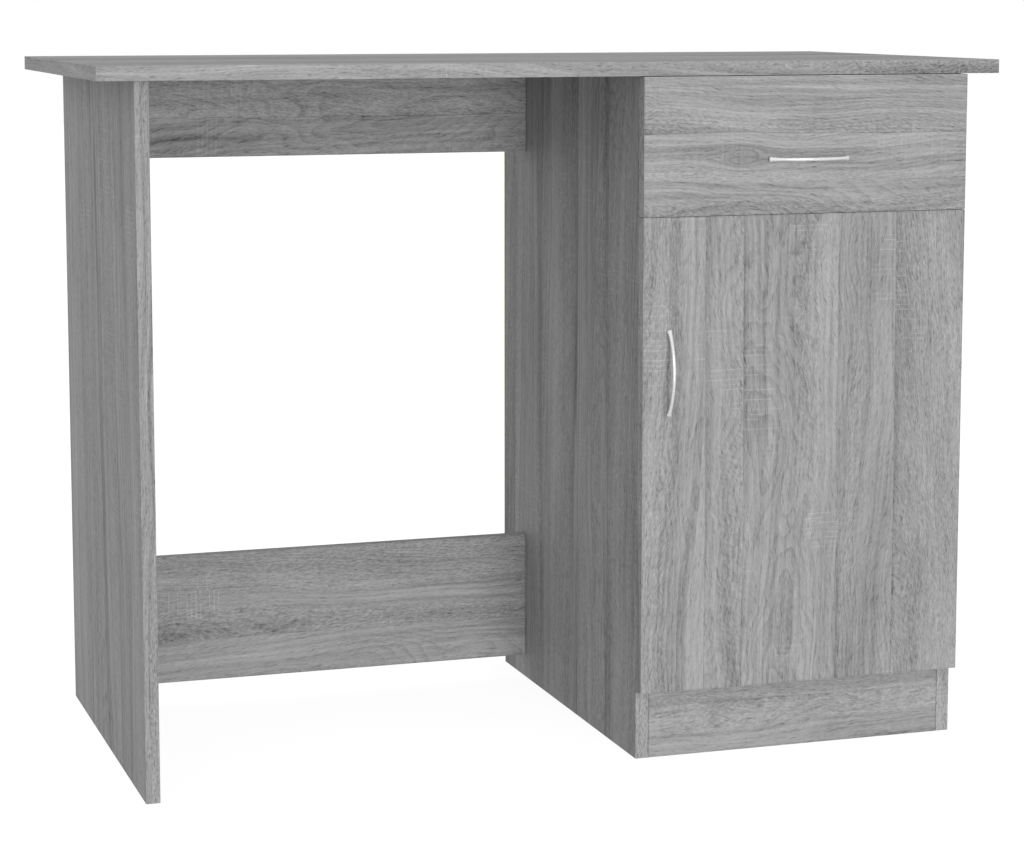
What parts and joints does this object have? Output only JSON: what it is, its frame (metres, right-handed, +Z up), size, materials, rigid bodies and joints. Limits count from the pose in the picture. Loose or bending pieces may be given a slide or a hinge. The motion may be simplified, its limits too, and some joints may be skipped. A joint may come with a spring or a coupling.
{
  "type": "writing desk",
  "caption": "Writing desk with a panel leg, modesty rails and a pedestal holding a drawer on roller runners over a door on cup hinges.",
  "frame": {"origin": "centre of the bounding box in plan, on the floor", "axes": "+X to the right along the desk, +Y from the front to the back, +Z up"},
  "size_m": [1, 0.5214, 0.76],
  "materials": {
    "grey_oak_board": "grey sawn-oak laminate on particle board, matt",
    "drawer_box_board": "light grey laminate on particle board, matt",
    "hardboard": "thin brown hardboard",
    "handle_nickel": "bright nickel plate",
    "hinge_nickel": "nickel-plated pressed steel",
    "zinc_fittings": "zinc-plated",
    "runner_steel": "white epoxy-coated steel",
    "roller_nylon": "natural nylon"
  },
  "bodies": {
    "root": {"top_panel": "grey_oak_board", "leg_panel_left": "grey_oak_board", "pedestal_side_left": "grey_oak_board", "pedestal_side_right": "grey_oak_board", "modesty_rail_upper": "grey_oak_board", "modesty_rail_lower": "grey_oak_board", "pedestal_base": "grey_oak_board", "plinth": "grey_oak_board", "divider_panel": "grey_oak_board", "inner_shelf": "grey_oak_board", "back_panel": "hardboard", "hinge_arm_lower": "hinge_nickel", "hinge_arm_upper": "hinge_nickel", "cam_bolt_lower_left": "zinc_fittings", "cam_bolt_lower_right": "zinc_fittings", "cam_bolt_upper_left": "zinc_fittings", "cam_bolt_upper_right": "zinc_fittings", "cam_lock_lower_left": "zinc_fittings", "cam_lock_lower_right": "zinc_fittings", "cam_lock_upper_left": "zinc_fittings", "cam_lock_upper_right": "zinc_fittings", "hinge_plate_lower": "zinc_fittings", "hinge_plate_upper": "zinc_fittings", "hinge_arm_pin_lower": "zinc_fittings", "hinge_arm_pin_upper": "zinc_fittings", "shelf_pin_front_left": "zinc_fittings", "shelf_pin_front_right": "zinc_fittings", "shelf_pin_back_left": "zinc_fittings", "shelf_pin_back_right": "zinc_fittings", "cabinet_runner_left": "runner_steel", "cabinet_runner_right": "runner_steel"},
    "drawer": {"drawer_front": "grey_oak_board", "drawer_side_left": "drawer_box_board", "drawer_side_right": "drawer_box_board", "drawer_back": "drawer_box_board", "drawer_bottom": "hardboard", "drawer_handle": "handle_nickel", "drawer_handle_screw_left": "zinc_fittings", "drawer_handle_screw_right": "zinc_fittings", "drawer_cam_left": "zinc_fittings", "drawer_cam_right": "zinc_fittings", "drawer_cam_bolt_left": "zinc_fittings", "drawer_cam_bolt_right": "zinc_fittings", "drawer_runner_left": "runner_steel", "drawer_runner_right": "runner_steel"},
    "hinge_links": {"hinge_link_lower": "hinge_nickel", "hinge_link_upper": "hinge_nickel"},
    "door": {"door_panel": "grey_oak_board", "door_handle": "handle_nickel", "door_handle_screw_lower": "zinc_fittings", "door_handle_screw_upper": "zinc_fittings", "hinge_cup_lower": "hinge_nickel", "hinge_cup_upper": "hinge_nickel", "hinge_cup_pin_lower": "zinc_fittings", "hinge_cup_pin_upper": "zinc_fittings"},
    "cabinet_roller_left": {"cabinet_roller_left": "roller_nylon"},
    "cabinet_roller_right": {"cabinet_roller_right": "roller_nylon"},
    "drawer_roller_left": {"drawer_roller_left": "roller_nylon"},
    "drawer_roller_right": {"drawer_roller_right": "roller_nylon"}
  },
  "joints": [
    {"name": "drawer_slide", "type": "slide", "parent": "root", "child": "drawer", "axis": [0, -1, 0], "range_m": [0, 0.29]},
    {"name": "hinge_link_swing", "type": "hinge", "parent": "root", "child": "hinge_links", "pos_m": [0.432, -0.22475, 0.335], "axis": [0, 0, -1], "range_deg": [0, 24]},
    {"name": "door_swing", "type": "hinge", "parent": "hinge_links", "child": "door", "pos_m": [0.4525, -0.23225, 0.335], "axis": [0, 0, 1], "range_deg": [0, 119]},
    {"name": "cabinet_roller_left_spin", "type": "hinge", "parent": "root", "child": "cabinet_roller_left", "pos_m": [0.1004, -0.21025, 0.63245], "axis": [1, 0, 0], "range_deg": [0, 1850]},
    {"name": "drawer_roller_left_spin", "type": "hinge", "parent": "drawer", "child": "drawer_roller_left", "pos_m": [0.1022, 0.15905, 0.63005], "axis": [1, 0, 0], "range_deg": [0, 1850]},
    {"name": "cabinet_roller_right_spin", "type": "hinge", "parent": "root", "child": "cabinet_roller_right", "pos_m": [0.4396, -0.21025, 0.63245], "axis": [1, 0, 0], "range_deg": [0, 1850]},
    {"name": "drawer_roller_right_spin", "type": "hinge", "parent": "drawer", "child": "drawer_roller_right", "pos_m": [0.4378, 0.15905, 0.63005], "axis": [1, 0, 0], "range_deg": [0, 1850]}
  ],
  "couplings": [
    {"joint": "cabinet_roller_left_spin", "follows": "drawer_slide", "rad_per_m": 111.11},
    {"joint": "cabinet_roller_right_spin", "follows": "drawer_slide", "rad_per_m": 111.11},
    {"joint": "drawer_roller_left_spin", "follows": "drawer_slide", "rad_per_m": 111.11},
    {"joint": "drawer_roller_right_spin", "follows": "drawer_slide", "rad_per_m": 111.11},
    {"joint": "hinge_link_swing", "follows": "door_swing", "ratio": 0.20168}
  ]
}
